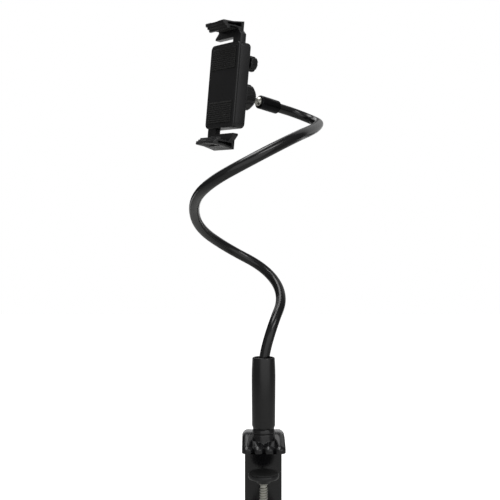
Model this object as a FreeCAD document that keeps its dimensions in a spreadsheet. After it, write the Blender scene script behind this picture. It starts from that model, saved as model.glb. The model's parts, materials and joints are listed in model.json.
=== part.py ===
# Gooseneck phone holder with a screw clamp.
# Millimetres, Z up. The origin is on the axis of the neck post, level with the underside of
# the rubber pad in the clamp's upper jaw.
# The neck post stands on a screw clamp, a plastic-covered flexible neck rises from it in
# two bends and a hairpin, and a ball joint at its end carries a holder with two jaws.
import FreeCAD, Part
import math
import os
import types

import Sketcher

os.makedirs("parts", exist_ok=True)
doc = FreeCAD.newDocument("GooseneckHolder")
V = FreeCAD.Vector

# Driving dimensions
SIZES = {
    # clamp, with heights and depths from the origin
    "jaw_width": 50.0, "jaw_under": 1.2, "jaw_back": 38.0, "jaw_corner": 8.0,
    "lobe_valley": 20.8, "lobe_radius": 6.3, "jaw_top": 16.6, "finger_start": 9.0,
    "finger_end": 22.0, "finger_top": 9.7, "nose_end": 28.5, "nose_top": 4.2,
    "flat_drop": 0.3, "finger_drop": 3.4, "nose_drop": 4.6, "shoulder_drop": 4.0,
    "spine_inner": 24.0, "spine_half": 22.0, "arm_top": 76.0, "arm_under": 90.0,
    "boss_under": 94.0, "boss_radius": 15.0, "screw_back": -3.0,
    "pad_thick": 2.4, "pad_half": 20.5, "pad_front": -19.5, "pad_rear": 21.5,
    # neck post on the clamp
    "hub_radius": 13.4, "ring_radius": 13.0, "ring_under": 20.0, "ring_top": 25.3,
    "stub_radius": 9.5, "stub_top": 40.0, "ferrule_radius": 7.0, "ferrule_top": 78.0,
    "grip_top": 108.2, "grip_bulge": 13.85, "bulge_height": 84.0, "grip_mouth": 13.1,
    "bush_radius": 11.2, "bush_under": 83.0, "bush_sunk": 7.0, "rim_round": 1.3,
    "bolt_radius": 3.0, "bolt_head": 5.0,
    # clamp screw and its foot
    "screw_radius": 5.0, "journal_radius": 3.95, "disc_radius": 18.0, "board": 25.0,
    "foot_pad_thick": 2.0, "disc_thick": 7.0, "knob_radius": 19.0, "knob_top": 118.0,
    "knob_height": 18.0, "insert_radius": 8.0, "running_gap": 0.05,
    # flexible neck
    "tube_radius": 6.0, "core_radius": 3.4, "core_bore": 3.5, "bend_length": 5.0,
    # ball joint
    "ball_radius": 8.5, "liner_inside": 8.6, "liner_outside": 10.0, "socket_radius": 10.15,
    "stud_radius": 3.5, "collar_radius": 8.5, "collar_near": 24.0, "collar_far": 56.0,
    "neck_end": 40.0, "nut_radius": 16.5, "socket_outside": 13.0,
    # holder, with depths from the origin of its own frame
    "holder_width": 58.0, "holder_height": 104.0, "holder_corner": 6.0, "wall": 2.5,
    "device_thick": 7.5, "device_half": 67.4, "front_face": 8.5, "parting": 11.5,
    "back_face": 27.5, "ball_depth": 45.0, "ball_drop": 8.0,
    # jaws and their drive
    "hook_width": 41.0, "hook_front": 36.0, "hook_out": 78.0, "lip_front": 11.0,
    "bar_outer": 26.3, "bar_front": 11.7, "bar_back": 19.7, "bar_end": 38.0, "jaw_root": 59.0,
    "lock_across": 17.5, "lock_up": 30.0,
    "pinion_radius": 9.0, "tooth_module": 1.5, "pin_radius": 2.5,
}
PINION_TEETH = 12
PRESSURE_ANGLE = math.radians(20)
LOBES = 4
KNOB_LOBES = 7

sheet = doc.addObject("Spreadsheet::Sheet", "Sizes")
for row, (alias, number) in enumerate(SIZES.items(), start=1):
    sheet.set("A%d" % row, alias)
    sheet.set("B%d" % row, str(number))
    sheet.setAlias("B%d" % row, alias)
doc.recompute()


class Size:
    """A length as a number, with the expression on the sheet's cells that gives it."""

    def __init__(self, number, text):
        self.number = number
        self.text = text

    @staticmethod
    def of(other):
        if isinstance(other, Size):
            return other
        return Size(float(other), "%.6g" % other)

    def joined(self, other, number, sign):
        return Size(number, "(%s %s %s)" % (self.text, sign, other.text))

    def __add__(self, other):
        other = Size.of(other)
        return self.joined(other, self.number + other.number, "+")

    def __sub__(self, other):
        other = Size.of(other)
        return self.joined(other, self.number - other.number, "-")

    def __mul__(self, other):
        other = Size.of(other)
        return self.joined(other, self.number * other.number, "*")

    def __truediv__(self, other):
        other = Size.of(other)
        return self.joined(other, self.number / other.number, "/")

    def __radd__(self, other):
        return Size.of(other) + self

    def __rsub__(self, other):
        return Size.of(other) - self

    def __rmul__(self, other):
        return Size.of(other) * self

    def __neg__(self):
        return Size(-self.number, "(0 - %s)" % self.text)

    def __float__(self):
        return self.number


S = types.SimpleNamespace(**{alias: Size(float(number), "Sizes." + alias)
                             for alias, number in SIZES.items()})
PIECES = {}


# Drawing helpers
def bind(thing, name, size):
    """Give a property its number, and its expression where it has one."""
    if isinstance(size, Size):
        thing.setExpression(name, size.text)
    else:
        setattr(thing, name, size)


def constrain(sketch, kind, where, size):
    """Add a dimension to a sketch, driven by the sheet where the size comes from it."""
    number = sketch.addConstraint(Sketcher.Constraint(kind, *where, float(size)))
    if isinstance(size, Size):
        name = "%s%d" % (kind, number)
        sketch.renameConstraint(number, name)
        sketch.setExpression("Constraints." + name, size.text)


def new_body(name):
    body = doc.addObject("PartDesign::Body", name)
    body.Label = name
    PIECES[name] = body
    return body


def new_sketch(body, role, offset=0.0):
    """A sketch on one of the body's own origin planes, moved along the plane's normal."""
    sketch = body.newObject("Sketcher::SketchObject", "Sketch")
    plane = [f for f in body.Origin.OriginFeatures if f.Role == role][0]
    sketch.AttachmentSupport = [(plane, "")]
    sketch.MapMode = "FlatFace"
    sketch.AttachmentOffset = FreeCAD.Placement(V(0, 0, float(offset)), FreeCAD.Rotation())
    if isinstance(offset, Size):
        sketch.setExpression("AttachmentOffset.Base.z", offset.text)
    return sketch


def arc_geometry(start, end, radius):
    """The shorter arc between two points, its centre to the left of the way if radius > 0."""
    chord = end - start
    middle = (start + end) * 0.5
    half = chord.Length / 2
    rise = math.sqrt(max(radius * radius - half * half, 0.0))
    left = V(-chord.y, chord.x, 0).normalize()
    centre = middle + left * (rise if radius > 0 else -rise)
    first, last = (start, end) if radius > 0 else (end, start)
    angles = [math.atan2(p.y - centre.y, p.x - centre.x) for p in (first, last)]
    if angles[1] < angles[0]:
        angles[1] += 2 * math.pi
    circle = Part.Circle(centre, V(0, 0, 1), abs(radius))
    return Part.ArcOfCircle(circle, angles[0], angles[1])


def outline(sketch, points):
    """A closed outline. A point with a third value starts an arc of that radius."""
    spots = [V(float(p[0]), float(p[1]), 0) for p in points]
    ends = []
    for i, point in enumerate(points):
        start, end = spots[i], spots[(i + 1) % len(spots)]
        if len(point) == 3:
            edge = sketch.addGeometry(arc_geometry(start, end, float(point[2])))
            ends.append((edge, 1, 2) if float(point[2]) > 0 else (edge, 2, 1))
        else:
            edge = sketch.addGeometry(Part.LineSegment(start, end))
            ends.append((edge, 1, 2))
    for i, (edge, first, last) in enumerate(ends):
        after = ends[(i + 1) % len(ends)]
        sketch.addConstraint(Sketcher.Constraint("Coincident", edge, last, after[0], after[1]))
    for (edge, first, last), point in zip(ends, points):
        constrain(sketch, "DistanceX", (edge, first), point[0])
        constrain(sketch, "DistanceY", (edge, first), point[1])
        if len(point) == 3:
            radius = point[2] if float(point[2]) > 0 else -point[2]
            constrain(sketch, "Radius", (edge,), radius)


def circle(sketch, x, y, radius):
    edge = sketch.addGeometry(Part.Circle(V(float(x), float(y), 0), V(0, 0, 1), float(radius)))
    constrain(sketch, "DistanceX", (edge, 3), x)
    constrain(sketch, "DistanceY", (edge, 3), y)
    constrain(sketch, "Radius", (edge,), radius)


def pad(body, sketch, length, back=False, both=False):
    feature = body.newObject("PartDesign::Pad", "Pad")
    feature.Profile = sketch
    bind(feature, "Length", length)
    feature.Reversed = back
    feature.Midplane = both
    doc.recompute()
    return feature


def pocket(body, sketch, length, up=False, both=False):
    """Cut a sketch away. Plain pockets go against the plane's normal, up ones along it."""
    before = body.Shape.Volume
    feature = body.newObject("PartDesign::Pocket", "Pocket")
    feature.Profile = sketch
    bind(feature, "Length", length)
    feature.Reversed = up
    feature.Midplane = both
    doc.recompute()
    if not body.Shape.Volume < before - 0.01:
        raise ValueError("a pocket in %s cuts nothing" % body.Label)
    return feature


def spin(body, sketch, kind="PartDesign::Revolution"):
    """Turn a profile round the vertical axis of its sketch, to add or to cut."""
    before = body.Shape.Volume if body.Tip else 0.0
    feature = body.newObject(kind, "Turned")
    feature.Profile = sketch
    feature.ReferenceAxis = (sketch, ["V_Axis"])
    feature.Angle = 360.0
    doc.recompute()
    if kind.endswith("Groove") and not body.Shape.Volume < before - 0.01:
        raise ValueError("a groove in %s cuts nothing" % body.Label)
    return feature


def turned(name, points):
    """A piece turned round its own Z axis, from an outline of (radius, height) points."""
    body = new_body(name)
    sketch = new_sketch(body, "XZ_Plane")
    outline(sketch, points)
    spin(body, sketch)
    return body


def bore(body, points):
    """Cut a turned hollow round the body's Z axis."""
    sketch = new_sketch(body, "XZ_Plane")
    outline(sketch, points)
    return spin(body, sketch, "PartDesign::Groove")


def around(body, feature, count):
    """Repeat a feature round the body's Z axis."""
    pattern = body.newObject("PartDesign::PolarPattern", "Pattern")
    pattern.Originals = [feature]
    axis = [f for f in body.Origin.OriginFeatures if f.Role == "Z_Axis"][0]
    pattern.Axis = (axis, [""])
    pattern.Angle = 360.0
    pattern.Occurrences = count
    body.Tip = pattern
    doc.recompute()
    return pattern


def edges_where(shape, test):
    """Names of the edges whose box passes a test."""
    return ["Edge%d" % (i + 1) for i, edge in enumerate(shape.Edges) if test(edge.BoundBox)]


def soften(body, radius, test, kind="PartDesign::Fillet"):
    """Round or chamfer the edges that pass a test."""
    base = body.Tip
    names = edges_where(base.Shape, test)
    if not names:
        raise ValueError("no edge to soften on %s" % body.Label)
    feature = body.newObject(kind, "Softened")
    feature.Base = (base, names)
    bind(feature, "Radius" if kind.endswith("Fillet") else "Size", radius)
    doc.recompute()
    if "Invalid" in feature.State:
        raise ValueError("the edges of %s can't be softened" % body.Label)
    return feature


def rectangle(x, y, width, height):
    """Corner points of a rectangle about a centre."""
    return [(x - width / 2, y - height / 2), (x + width / 2, y - height / 2),
            (x + width / 2, y + height / 2), (x - width / 2, y + height / 2)]


def rounded_rectangle(width, height, corner):
    """Outline of a rectangle about the origin, with round corners."""
    x, y = width / 2, height / 2
    return [(-x + corner, -y), (x - corner, -y, corner), (x, -y + corner),
            (x, y - corner, corner), (x - corner, y), (-x + corner, y, corner),
            (-x, y - corner), (-x, -y + corner, corner)]


def plain(name, shape, placement=None):
    """A piece whose shape comes straight from a function."""
    feature = doc.addObject("Part::Feature", name)
    feature.Label = name
    feature.Shape = shape
    if placement:
        feature.Placement = placement
    PIECES[name] = feature
    return feature


# Clamp
def clamp_frame():
    """The moulded C: upper jaw with four fingers, spine, lower arm with its boss."""
    body = new_body("clamp_frame")
    half = S.jaw_width / 2
    pitch = S.jaw_width / LOBES
    plan = new_sketch(body, "XY_Plane", S.jaw_under)
    front = [(-half + pitch * i, -S.lobe_valley, S.lobe_radius) for i in range(LOBES)]
    outline(plan, front + [
        (half, -S.lobe_valley), (half, S.jaw_back - S.jaw_corner, S.jaw_corner),
        (half - S.jaw_corner, S.jaw_back), (-half + S.jaw_corner, S.jaw_back, S.jaw_corner),
        (-half, S.jaw_back - S.jaw_corner)])
    pad(body, plan, S.jaw_top + 0.5 - S.jaw_under)
    fingers(body, pitch)

    spine = new_sketch(body, "XY_Plane", -S.arm_under)
    side = S.spine_half
    outline(spine, [(-side, S.spine_inner), (side, S.spine_inner),
                    (side, S.jaw_back - S.jaw_corner, S.jaw_corner),
                    (side - S.jaw_corner, S.jaw_back),
                    (-side + S.jaw_corner, S.jaw_back, S.jaw_corner),
                    (-side, S.jaw_back - S.jaw_corner)])
    pad(body, spine, S.arm_under + 6)

    arm = new_sketch(body, "XY_Plane", -S.arm_under)
    outline(arm, [(-side, S.spine_inner + 4), (-S.boss_radius, S.screw_back, S.boss_radius + 0.01),
                  (S.boss_radius, S.screw_back), (side, S.spine_inner + 4)])
    pad(body, arm, S.arm_under - S.arm_top)
    boss = new_sketch(body, "XY_Plane", -S.boss_under)
    circle(boss, 0, S.screw_back, S.boss_radius - 2)
    pad(body, boss, S.boss_under - S.arm_under)

    seat = new_sketch(body, "XZ_Plane")
    outline(seat, [(0, 8), (S.hub_radius, 8), (S.ring_radius - 0.2, S.ring_under),
                   (S.stub_radius, S.ring_under), (S.stub_radius, S.stub_top), (0, S.stub_top)])
    spin(body, seat)
    web = new_sketch(body, "YZ_Plane")
    inner, low, reach = S.spine_inner, -S.arm_top, 9
    outline(web, [(inner + 1, low - 1), (inner + 1, low + reach), (inner, low + reach, -reach),
                  (inner - reach, low), (inner - reach, low - 1)])
    pad(body, web, 36, both=True)
    hollows(body)


def fingers(body, pitch):
    """Cut the jaw's top to four rounded fingers: flat at the back, steep at the nose."""
    places = [(-S.jaw_back - 1, S.jaw_top, S.flat_drop), (-S.finger_start, S.jaw_top, S.flat_drop),
              (S.finger_end, S.finger_top, S.finger_drop), (S.nose_end, S.nose_top, S.nose_drop)]
    sections = []
    for reach, crest, drop in places:
        section = new_sketch(body, "XZ_Plane", reach)
        outline(section, finger_section(pitch, crest, drop))
        sections.append(section)
    before = body.Shape.Volume
    cut = body.newObject("PartDesign::SubtractiveLoft", "Fingers")
    cut.Profile = sections[0]
    cut.Sections = sections[1:]
    cut.Ruled = True
    doc.recompute()
    if not body.Shape.Volume < before - 1:
        raise ValueError("the fingers aren't cut")


def finger_section(pitch, crest, drop):
    """What is cut above the fingers: each is two arcs that meet on its crest."""
    half, clear = S.jaw_width / 2, 1.0
    points = [(-half - clear, S.ring_top), (-half - clear, crest - S.shoulder_drop)]
    for number in range(LOBES):
        middle = -half + pitch * (number + 0.5)
        falls = [drop, drop]
        if number == 0:
            falls[0] = S.shoulder_drop
        if number == LOBES - 1:
            falls[1] = S.shoulder_drop
        bends = [(pitch * pitch / 4 + fall * fall) / (2 * fall) for fall in falls]
        points.append((middle - pitch / 2, crest - falls[0], -bends[0]))
        points.append((middle, crest, -bends[1]))
    points += [(half, crest - S.shoulder_drop), (half + clear, crest - S.shoulder_drop),
               (half + clear, S.ring_top)]
    return points


def hollows(body):
    """Pad recess, bolt way and ferrule socket on the post axis, insert seat in the boss."""
    recess = new_sketch(body, "XY_Plane", S.jaw_under)
    outline(recess, pad_outline())
    pocket(body, recess, S.pad_thick - S.jaw_under, up=True)
    bore(body, [(0, 0), (S.bolt_head + 0.7, 0), (S.bolt_head + 0.7, 9),
                (S.bolt_radius + 0.3, 9), (S.bolt_radius + 0.3, S.ring_under),
                (S.ferrule_radius + S.running_gap, S.ring_under),
                (S.ferrule_radius + S.running_gap, S.stub_top + 1), (0, S.stub_top + 1)])
    for radius, depth in ((S.insert_radius + 2, 2), (S.insert_radius, 25)):
        seat = new_sketch(body, "XY_Plane", -S.arm_top)
        circle(seat, 0, S.screw_back, radius)
        pocket(body, seat, depth)
    back = new_sketch(body, "XZ_Plane", -S.jaw_back)
    outline(back, rectangle(0, -43, 26, 62))
    pocket(body, back, 3.5, up=True)


def pad_outline():
    return [(-S.pad_half, S.pad_front), (S.pad_half, S.pad_front),
            (S.pad_half, S.pad_rear), (-S.pad_half, S.pad_rear)]


def upper_jaw_pad():
    body = new_body("upper_jaw_pad")
    sketch = new_sketch(body, "XY_Plane")
    outline(sketch, pad_outline())
    pad(body, sketch, S.pad_thick)
    soften(body, 0.8, lambda b: b.ZLength > 2)


def threaded_insert():
    """Flanged metal nut pressed into the lower boss."""
    body = turned("threaded_insert", [
        (S.screw_radius + S.running_gap, -S.boss_under), (S.insert_radius, -S.boss_under),
        (S.insert_radius, -S.arm_top - 2), (S.insert_radius + 2, -S.arm_top - 2),
        (S.insert_radius + 2, -S.arm_top), (S.screw_radius + S.running_gap, -S.arm_top)])
    body.Placement.Base = V(0, float(S.screw_back), 0)


# Neck post
def neck_post():
    turned("neck_ring", [
        (S.stub_radius, S.ring_under), (S.ring_radius - 0.5, S.ring_under),
        (S.ring_radius, S.ring_under + 0.6), (S.ring_radius, S.ring_under + 3.2),
        (S.ring_radius - 0.9, S.ring_top), (S.stub_radius, S.ring_top)])
    ferrule = turned("neck_ferrule", [
        (0, S.ring_under), (S.ferrule_radius, S.ring_under),
        (S.ferrule_radius, S.ferrule_top - 1), (S.ferrule_radius - 1, S.ferrule_top),
        (0, S.ferrule_top)])
    bore(ferrule, [(0, S.ring_under - 1), (S.bolt_radius, S.ring_under - 1),
                   (S.bolt_radius, S.ring_under + 14), (0, S.ring_under + 16)])
    bore(ferrule, [(0, S.ferrule_top - 18), (S.core_bore, S.ferrule_top - 18),
                   (S.core_bore, S.ferrule_top + 1), (0, S.ferrule_top + 1)])
    bolt = turned("ferrule_bolt", [
        (0, 3), (S.bolt_head, 3), (S.bolt_head, 9), (S.bolt_radius, 9),
        (S.bolt_radius, S.ring_under + 12), (0, S.ring_under + 12)])
    socket = new_sketch(bolt, "XY_Plane", 3)
    corners = [(2.9 * math.cos(math.radians(60 * i)), 2.9 * math.sin(math.radians(60 * i)))
               for i in range(6)]
    outline(socket, corners)
    pocket(bolt, socket, 3, up=True)
    turned("grip_sleeve", [
        (S.stub_radius, S.ring_top), (12.05, S.ring_top), (13.45, S.ring_top + 3.9),
        (S.grip_bulge, S.bulge_height, 300), (S.grip_mouth, S.grip_top - S.rim_round, S.rim_round),
        (S.grip_mouth - S.rim_round, S.grip_top), (S.bush_radius, S.grip_top),
        (S.bush_radius, S.bush_under), (S.ferrule_radius, S.bush_under),
        (S.ferrule_radius, S.stub_top + 0.5), (S.stub_radius, S.stub_top + 0.5)])
    turned("sleeve_top_bush", [
        (S.tube_radius + 0.1, S.bush_under), (S.bush_radius, S.bush_under),
        (S.bush_radius, S.grip_top - S.bush_sunk),
        (S.tube_radius + 2.4, S.grip_top - S.bush_sunk),
        (S.tube_radius + 0.1, S.bush_under + 8)])


# Clamp screw with its foot
def clamp_screw():
    """The foot slides; the screw, its knob, the knob's cap and the retainer turn in it."""
    foot_top = -S.board - S.foot_pad_thick
    foot_under = foot_top - S.disc_thick
    socket = S.journal_radius + S.running_gap
    disc = turned("pressure_disc", [
        (socket, foot_under - 3), (8, foot_under - 3), (9.5, foot_under),
        (S.disc_radius - 1, foot_under + 2), (S.disc_radius, foot_under + 3.5),
        (S.disc_radius, foot_top - 0.6), (S.disc_radius - 0.6, foot_top),
        (7.6, foot_top), (7.6, foot_top - 4), (socket, foot_top - 4)])
    foot_pad = turned("pressure_pad", [
        (0, foot_top), (S.disc_radius - 1, foot_top), (S.disc_radius - 1, -S.board - 0.5),
        (S.disc_radius - 1.5, -S.board), (0, -S.board)])
    retainer = turned("disc_retainer", [
        (S.journal_radius - 1, foot_top - 3.9), (6.4, foot_top - 3.9), (6.4, foot_top - 2.7),
        (S.journal_radius - 1, foot_top - 2.7)])
    cut = new_sketch(retainer, "XY_Plane", foot_top)
    outline(cut, rectangle(0, 5, 3.6, 6))
    pocket(retainer, cut, 6)
    screw = turned("clamp_screw", [
        (0, -S.knob_top - S.knob_height + 2), (S.screw_radius, -S.knob_top - S.knob_height + 2),
        (S.screw_radius, foot_under - 4), (S.journal_radius, foot_under - 3),
        (S.journal_radius, foot_top - 3.9), (S.journal_radius - 1, foot_top - 3.9),
        (S.journal_radius - 1, foot_top - 2.7), (S.journal_radius, foot_top - 2.7),
        (S.journal_radius, foot_top - 1.2), (0, foot_top - 1.2)])
    low = -S.knob_top - S.knob_height
    knob = turned("screw_knob", [
        (11.5, low), (S.knob_radius - 1.5, low, 1.5), (S.knob_radius, low + 1.5),
        (S.knob_radius, -S.knob_top - 4, 3), (S.knob_radius - 3, -S.knob_top - 1),
        (9, -S.knob_top), (S.screw_radius, -S.knob_top), (S.screw_radius, low + 2), (11.5, low + 2)])
    scallop = new_sketch(knob, "XY_Plane", low - 1)
    circle(scallop, S.knob_radius + 2.6, 0, 5.2)
    around(knob, pocket(knob, scallop, S.knob_height + 3, up=True), KNOB_LOBES)
    cap = turned("knob_cap", [(0, low - 0.6), (10, low - 0.6, 1.4), (11.4, low + 0.8),
                              (11.4, low + 2), (0, low + 2)])
    for piece in (disc, foot_pad, retainer, screw, knob, cap):
        piece.Placement.Base = V(0, float(S.screw_back), 0)


# Holder frame: X to its side, Y up the way that its jaws slide, Z out of its front
HOLDER_ORIGIN = V(-56.9, 46.1, 435.1)
HOLDER_SIDE = V(0.619, -0.784, -0.051).normalize()
HOLDER_FRONT = V(-0.781, -0.621, 0.065)
HOLDER_UP = HOLDER_FRONT.cross(HOLDER_SIDE).normalize()
HOLDER_FRONT = HOLDER_SIDE.cross(HOLDER_UP).normalize()
HOLDER = FreeCAD.Placement(HOLDER_ORIGIN,
                           FreeCAD.Rotation(HOLDER_SIDE, HOLDER_UP, HOLDER_FRONT, "ZXY"))
BALL_CENTRE = HOLDER.multVec(V(0, -float(S.ball_drop), -float(S.ball_depth)))
COLLAR_WAY = V(0.75, 0.65, -0.12).normalize()
SOCKET = FreeCAD.Placement(BALL_CENTRE, HOLDER.Rotation)
STUD = FreeCAD.Placement(BALL_CENTRE, FreeCAD.Rotation(V(0, 0, 1), COLLAR_WAY))


def in_holder(body):
    body.Placement = HOLDER
    return body


# Flexible neck: corners of its route, each rounded by an arc as large as its runs allow
ROUTE = [V(0, 0, 60), V(0, 0, 108), V(10, 1, 144), V(26, 45, 177), V(6, 89, 209),
         V(-46, 89, 236), V(-79, 36, 260), V(-81, -31, 286), V(-60, -98, 303),
         V(-13, -114, 327), V(34, -77, 355), V(56, -14, 371), V(68, 52, 386),
         V(74, 119, 399), BALL_CENTRE + COLLAR_WAY * 90]
BEND_RUNS = [2, 4, 6, 8, 10, 12]
CORNER_SHARE = 0.45


def corner_arcs():
    """Each corner's arc as (start, middle, end) points; the radii are printed."""
    arcs = {}
    ends = ROUTE + [BALL_CENTRE]
    for i in range(1, len(ends) - 1):
        back, ahead = ends[i - 1] - ends[i], ends[i + 1] - ends[i]
        cut = CORNER_SHARE * min(back.Length, ahead.Length)
        back.normalize()
        ahead.normalize()
        half_turn = (math.pi - back.getAngle(ahead)) / 2
        radius = cut / math.tan(half_turn)
        middle_way = (back + ahead).normalize()
        centre = ends[i] + middle_way * (radius / math.cos(half_turn))
        arcs[i] = (ends[i] + back * cut, centre - middle_way * radius, ends[i] + ahead * cut)
        print("corner %d turns %.0f degrees at radius %.1f"
              % (i, math.degrees(2 * half_turn), radius))
    return arcs


def pipe(edges, radius):
    """A round bar swept along straight runs and tangent arcs."""
    way = edges[0].tangentAt(edges[0].FirstParameter)
    ring = Part.Wire([Part.makeCircle(radius, edges[0].valueAt(edges[0].FirstParameter), way)])
    bar = Part.Wire(edges).makePipeShell([ring], True, False)
    length = sum(edge.Length for edge in edges)
    expected = math.pi * radius * radius * length
    if abs(bar.Volume / expected - 1) > 0.01:
        raise ValueError("a neck length has the wrong volume")
    return bar


def line(start, end):
    return Part.LineSegment(start, end).toShape()


def neck():
    """Lengths of core and sleeve between the places where the neck flexes."""
    arcs = corner_arcs()
    tail = BALL_CENTRE + COLLAR_WAY * float(S.neck_end)
    lengths, edges, here, spans = [], [], ROUTE[0], []
    for i in range(1, len(ROUTE)):
        if i - 1 in BEND_RUNS:
            middle = (ROUTE[i - 1] + ROUTE[i]) * 0.5
            way = (ROUTE[i] - ROUTE[i - 1]).normalize()
            stop = middle - way * (float(S.bend_length) / 2)
            edges.append(line(here, stop))
            lengths.append(edges)
            here = middle + way * (float(S.bend_length) / 2)
            edges = []
            spans.append((stop, way))
        start, middle_point, end = arcs[i]
        edges.append(line(here, start))
        edges.append(Part.Arc(start, middle_point, end).toShape())
        here = end
    edges.append(line(here, tail))
    lengths.append(edges)
    total = 0.0
    for i, edges in enumerate(lengths):
        core = pipe(edges, float(S.core_radius))
        if i == 0:
            edges = [line(V(0, 0, float(S.ferrule_top)), edges[0].Vertexes[1].Point)] + edges[1:]
        sleeve = pipe(edges, float(S.tube_radius)).cut(pipe(edges, float(S.core_bore)))
        plain("neck_core_%d" % i, core)
        plain("neck_sleeve_%d" % i, sleeve)
        total += sum(edge.Length for edge in edges)
    for i, (foot, way) in enumerate(spans):
        disc = doc.addObject("Part::Cylinder", "neck_bend_%d" % (i + 1))
        disc.Label = "neck_bend_%d" % (i + 1)
        bind(disc, "Radius", S.tube_radius)
        bind(disc, "Height", S.bend_length)
        disc.Placement = FreeCAD.Placement(foot, FreeCAD.Rotation(V(0, 0, 1), way))
        PIECES[disc.Label] = disc
        print("bend %d at %s along %s" % (i + 1, foot + way * (float(S.bend_length) / 2), way))
    print("neck length %.0f mm" % (total + float(S.bend_length) * len(spans)))


# Ball joint
def polar(radius, degrees, depth=0.0):
    """A point of a turned outline, at an angle from the +Z pole of a ball at the origin."""
    angle = math.radians(degrees)
    return (float(radius) * math.sin(angle), float(radius) * math.cos(angle) + depth)


def ball_joint():
    """Stud and collar on the neck's end, two liners, and the nut that squeezes them."""
    stud_angle = math.degrees(math.asin(float(S.stud_radius) / float(S.ball_radius)))
    stud = turned("ball_stud", [
        (0, -S.ball_radius, S.ball_radius), (S.ball_radius, 0, S.ball_radius),
        polar(S.ball_radius, stud_angle), (S.stud_radius, S.collar_near - 4),
        (6, S.collar_near - 2), (6, S.collar_near), (4, S.collar_near),
        (4, S.neck_end - 1), (0, S.neck_end - 1)])
    stud.Placement = STUD
    collar = turned("end_collar", [
        (4, S.collar_near), (S.collar_radius - 1, S.collar_near),
        (S.collar_radius, S.collar_near + 1), (S.collar_radius, S.collar_far - 1.6),
        (S.collar_radius - 1.4, S.collar_far), (S.tube_radius, S.collar_far),
        (S.tube_radius, S.neck_end), (4, S.neck_end)])
    collar.Placement = STUD
    for name, near, far in (("collet_ring", 108.0, 134.5), ("ball_seat", 0.0, 88.0)):
        inner, outer = float(S.liner_inside), float(S.liner_outside)
        first = polar(outer, far) + (outer,)
        points = [first, polar(outer, near), polar(inner, near) + (-inner,), polar(inner, far)]
        turned(name, points).Placement = SOCKET
    lock_ring()


def lock_ring():
    """Ring nut: it screws on the socket boss, and its curved inside holds the ball."""
    inner = float(S.socket_radius)
    opening = polar(inner, 133)
    waist = (inner, 0.0)
    ring = turned("lock_ring", [
        waist + (-inner,), opening, (opening[0] + 1.2, opening[1] - 1.4),
        (S.nut_radius - 4, opening[1] - 1.4), (S.nut_radius, -3.5),
        (S.nut_radius, 10), (S.nut_radius - 1, 11), (S.socket_outside + S.running_gap, 11),
        (S.socket_outside + S.running_gap, 0)])
    ring.Placement = SOCKET
    notch = new_sketch(ring, "XY_Plane", -12)
    circle(notch, S.nut_radius + 1.1, 0, 2.4)
    around(ring, pocket(ring, notch, 26, up=True), 12)


# Holder
def front_shell():
    body = in_holder(new_body("front_shell"))
    plate = new_sketch(body, "XY_Plane", -S.parting)
    outline(plate, rounded_rectangle(S.holder_width, S.holder_height, S.holder_corner))
    pad(body, plate, S.parting - S.front_face)
    soften(body, 1.2, lambda b: b.ZLength < 0.01 and abs(b.ZMin + float(S.front_face)) < 0.01)
    for y in (33, -33):
        seat = new_sketch(body, "XY_Plane", -S.front_face)
        outline(seat, rectangle(0, y, S.holder_width - 12, 26))
        pocket(body, seat, 1)
    shank = new_sketch(body, "XY_Plane", -S.parting)
    circle(shank, 0, 0, S.pin_radius)
    for x, y in screw_places():
        circle(shank, x, y, 1.25)
    pocket(body, shank, 1.8, up=True)


def screw_places():
    return [(x, y) for x in (-4, 4) for y in (-44, 44)]


def front_pads():
    body = in_holder(new_body("front_pads"))
    for y in (33, -33):
        sketch = new_sketch(body, "XY_Plane", -S.front_face - 1)
        outline(sketch, rectangle(0, y, S.holder_width - 12, 26))
        pad(body, sketch, 1 + S.front_face - S.device_thick)


def back_shell():
    """Tray that guides both jaws, with the ball socket's boss standing on its back."""
    body = in_holder(new_body("back_shell"))
    tray = new_sketch(body, "XY_Plane", -S.back_face)
    outline(tray, rounded_rectangle(S.holder_width, S.holder_height, S.holder_corner))
    pad(body, tray, S.back_face - S.parting)
    soften(body, 3.0, lambda b: b.ZLength < 0.01 and abs(b.ZMin + float(S.back_face)) < 0.01)
    floor = S.back_face - S.wall
    inside = new_sketch(body, "XY_Plane", -S.parting)
    outline(inside, rounded_rectangle(S.holder_width - 2 * S.wall, S.holder_height - 2 * S.wall,
                                      S.holder_corner - S.wall))
    pocket(body, inside, floor - S.parting)
    rails = new_sketch(body, "XY_Plane", -floor)
    for x in (18, -18):
        outline(rails, rectangle(x, 0, 11, 92))
    pad(body, rails, floor - S.bar_back - 0.2)
    posts = new_sketch(body, "XY_Plane", -floor)
    for x, y in screw_places():
        circle(posts, x, y, 3)
    pad(body, posts, floor - S.parting)
    hub = new_sketch(body, "XY_Plane", -floor)
    circle(hub, 0, 0, 5)
    pad(body, hub, floor - S.bar_back - 0.2)
    for side in (1, -1):
        way = new_sketch(body, "XY_Plane", -S.parting)
        outline(way, rectangle(side * S.lock_across, side * 50, 18.2, 9))
        pocket(body, way, S.bar_back + 0.2 - S.parting)
    boss = new_sketch(body, "XY_Plane", -S.ball_depth + 0.3)
    circle(boss, 0, -S.ball_drop, S.socket_outside)
    pad(body, boss, S.ball_depth - 0.3 - S.back_face + 0.5)
    shell_bores(body)


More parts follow.
